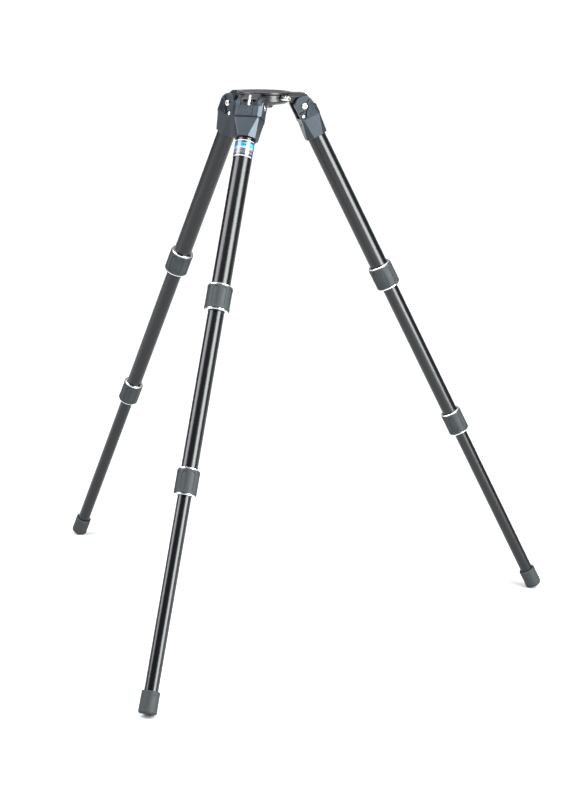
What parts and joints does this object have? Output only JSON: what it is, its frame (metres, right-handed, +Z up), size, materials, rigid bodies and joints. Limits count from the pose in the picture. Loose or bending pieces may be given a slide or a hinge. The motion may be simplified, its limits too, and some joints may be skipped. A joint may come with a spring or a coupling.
{
  "type": "camera tripod",
  "caption": "Free-standing three-legged camera support: flat round head plate, hinged legs of telescoping tubes with twist locks, rubber feet.",
  "frame": {"origin": "under the middle of the whole box, on the surface that the feet stand on", "axes": "+Z up, the front leg points along -Y, the head centre line stands at x 0, y 0.1174"},
  "size_m": [0.8406, 0.7314, 0.812],
  "materials": {
    "head_paint": "semi-gloss black paint on a casting",
    "leg_casting_paint": "fine-grained blue-grey paint on a casting",
    "tube_lacquer": "gloss black lacquer",
    "bare_aluminium": "turned and polished",
    "bright_steel": "bright plated",
    "grip_rubber": "matt moulded rubber",
    "pad_rubber": "matt rubber sheet",
    "nylon": "moulded",
    "label_film": "printed film, no lettering"
  },
  "bodies": {
    "head": {"shoulder_casting": "head_paint", "top_plate": "head_paint", "top_pad": "pad_rubber", "stop_pin_front": "bright_steel", "stop_pin_right": "bright_steel", "stop_pin_left": "bright_steel"},
    "camera_screw": {"camera_screw": "bright_steel"},
    "clamp_screw": {"clamp_screw": "bright_steel"},
    "leg_front": {"leg_head_front": "leg_casting_paint", "hinge_bolt_front": "bright_steel", "hinge_nut_front": "bright_steel", "cheek_screw_front": "bright_steel", "top_tube_front": "tube_lacquer", "upper_ferrule_front": "bare_aluminium", "upper_collet_front": "nylon", "front_label": "label_film"},
    "catch_front": {"angle_catch_front": "leg_casting_paint"},
    "upper_lock_front": {"upper_nut_front": "bare_aluminium", "upper_grip_front": "grip_rubber"},
    "mid_front": {"mid_tube_front": "tube_lacquer", "lower_ferrule_front": "bare_aluminium", "lower_collet_front": "nylon"},
    "lower_lock_front": {"lower_nut_front": "bare_aluminium", "lower_grip_front": "grip_rubber"},
    "bottom_front": {"bottom_tube_front": "tube_lacquer", "rubber_foot_front": "grip_rubber"},
    "leg_right": {"leg_head_right": "leg_casting_paint", "hinge_bolt_right": "bright_steel", "hinge_nut_right": "bright_steel", "cheek_screw_right": "bright_steel", "top_tube_right": "tube_lacquer", "upper_ferrule_right": "bare_aluminium", "upper_collet_right": "nylon"},
    "catch_right": {"angle_catch_right": "leg_casting_paint"},
    "upper_lock_right": {"upper_nut_right": "bare_aluminium", "upper_grip_right": "grip_rubber"},
    "mid_right": {"mid_tube_right": "tube_lacquer", "lower_ferrule_right": "bare_aluminium", "lower_collet_right": "nylon"},
    "lower_lock_right": {"lower_nut_right": "bare_aluminium", "lower_grip_right": "grip_rubber"},
    "bottom_right": {"bottom_tube_right": "tube_lacquer", "rubber_foot_right": "grip_rubber"},
    "leg_left": {"leg_head_left": "leg_casting_paint", "hinge_bolt_left": "bright_steel", "hinge_nut_left": "bright_steel", "cheek_screw_left": "bright_steel", "top_tube_left": "tube_lacquer", "upper_ferrule_left": "bare_aluminium", "upper_collet_left": "nylon"},
    "catch_left": {"angle_catch_left": "leg_casting_paint"},
    "upper_lock_left": {"upper_nut_left": "bare_aluminium", "upper_grip_left": "grip_rubber"},
    "mid_left": {"mid_tube_left": "tube_lacquer", "lower_ferrule_left": "bare_aluminium", "lower_collet_left": "nylon"},
    "lower_lock_left": {"lower_nut_left": "bare_aluminium", "lower_grip_left": "grip_rubber"},
    "bottom_left": {"bottom_tube_left": "tube_lacquer", "rubber_foot_left": "grip_rubber"}
  },
  "joints": [
    {"name": "leg_fold_front", "type": "hinge", "parent": "head", "child": "leg_front", "pos_m": [0, 0.05912, 0.79068], "axis": [1, 0, 0], "range_deg": [0, 29.8]},
    {"name": "catch_pull_front", "type": "slide", "parent": "leg_front", "child": "catch_front", "axis": [0, -0.8846, 0.4664], "range_m": [0, 0.004], "stiffness_N_per_m": 2000, "springref_m": -0.001},
    {"name": "upper_lock_turn_front", "type": "hinge", "parent": "leg_front", "child": "upper_lock_front", "pos_m": [0, -0.07846, 0.52973], "axis": [0, 0.4664, 0.8846], "range_deg": [0, 90]},
    {"name": "mid_slide_front", "type": "slide", "parent": "leg_front", "child": "mid_front", "axis": [0, 0.4664, 0.8846], "range_m": [0, 0.225]},
    {"name": "lower_lock_turn_front", "type": "hinge", "parent": "mid_front", "child": "lower_lock_front", "pos_m": [0, -0.20439, 0.29089], "axis": [0, 0.4664, 0.8846], "range_deg": [0, 90]},
    {"name": "bottom_slide_front", "type": "slide", "parent": "mid_front", "child": "bottom_front", "axis": [0, 0.4664, 0.8846], "range_m": [0, 0.262]},
    {"name": "leg_fold_right", "type": "hinge", "parent": "head", "child": "leg_right", "pos_m": [0.05049, 0.14657, 0.79068], "axis": [-0.5, 0.866, 0], "range_deg": [0, 29.8]},
    {"name": "catch_pull_right", "type": "slide", "parent": "leg_right", "child": "catch_right", "axis": [0.7661, 0.4423, 0.4664], "range_m": [0, 0.004], "stiffness_N_per_m": 2000, "springref_m": -0.001},
    {"name": "upper_lock_turn_right", "type": "hinge", "parent": "leg_right", "child": "upper_lock_right", "pos_m": [0.16964, 0.21536, 0.52973], "axis": [-0.4039, -0.2332, 0.8846], "range_deg": [0, 90]},
    {"name": "mid_slide_right", "type": "slide", "parent": "leg_right", "child": "mid_right", "axis": [-0.4039, -0.2332, 0.8846], "range_m": [0, 0.225]},
    {"name": "lower_lock_turn_right", "type": "hinge", "parent": "mid_right", "child": "lower_lock_right", "pos_m": [0.27869, 0.27832, 0.29089], "axis": [-0.4039, -0.2332, 0.8846], "range_deg": [0, 90]},
    {"name": "bottom_slide_right", "type": "slide", "parent": "mid_right", "child": "bottom_right", "axis": [-0.4039, -0.2332, 0.8846], "range_m": [0, 0.262]},
    {"name": "leg_fold_left", "type": "hinge", "parent": "head", "child": "leg_left", "pos_m": [-0.05049, 0.14657, 0.79068], "axis": [-0.5, -0.866, 0], "range_deg": [0, 29.8]},
    {"name": "catch_pull_left", "type": "slide", "parent": "leg_left", "child": "catch_left", "axis": [-0.7661, 0.4423, 0.4664], "range_m": [0, 0.004], "stiffness_N_per_m": 2000, "springref_m": -0.001},
    {"name": "upper_lock_turn_left", "type": "hinge", "parent": "leg_left", "child": "upper_lock_left", "pos_m": [-0.16964, 0.21536, 0.52973], "axis": [0.4039, -0.2332, 0.8846], "range_deg": [0, 90]},
    {"name": "mid_slide_left", "type": "slide", "parent": "leg_left", "child": "mid_left", "axis": [0.4039, -0.2332, 0.8846], "range_m": [0, 0.225]},
    {"name": "lower_lock_turn_left", "type": "hinge", "parent": "mid_left", "child": "lower_lock_left", "pos_m": [-0.27869, 0.27832, 0.29089], "axis": [0.4039, -0.2332, 0.8846], "range_deg": [0, 90]},
    {"name": "bottom_slide_left", "type": "slide", "parent": "mid_left", "child": "bottom_left", "axis": [0.4039, -0.2332, 0.8846], "range_m": [0, 0.262]},
    {"name": "camera_screw_lift", "type": "slide", "parent": "head", "child": "camera_screw", "axis": [0, 0, 1], "range_m": [0, 0.007]},
    {"name": "clamp_screw_turn", "type": "hinge", "parent": "head", "child": "clamp_screw", "pos_m": [0.03897, 0.09492, 0.80358], "axis": [0.866, -0.5, 0], "range_deg": [0, 270]}
  ]
}
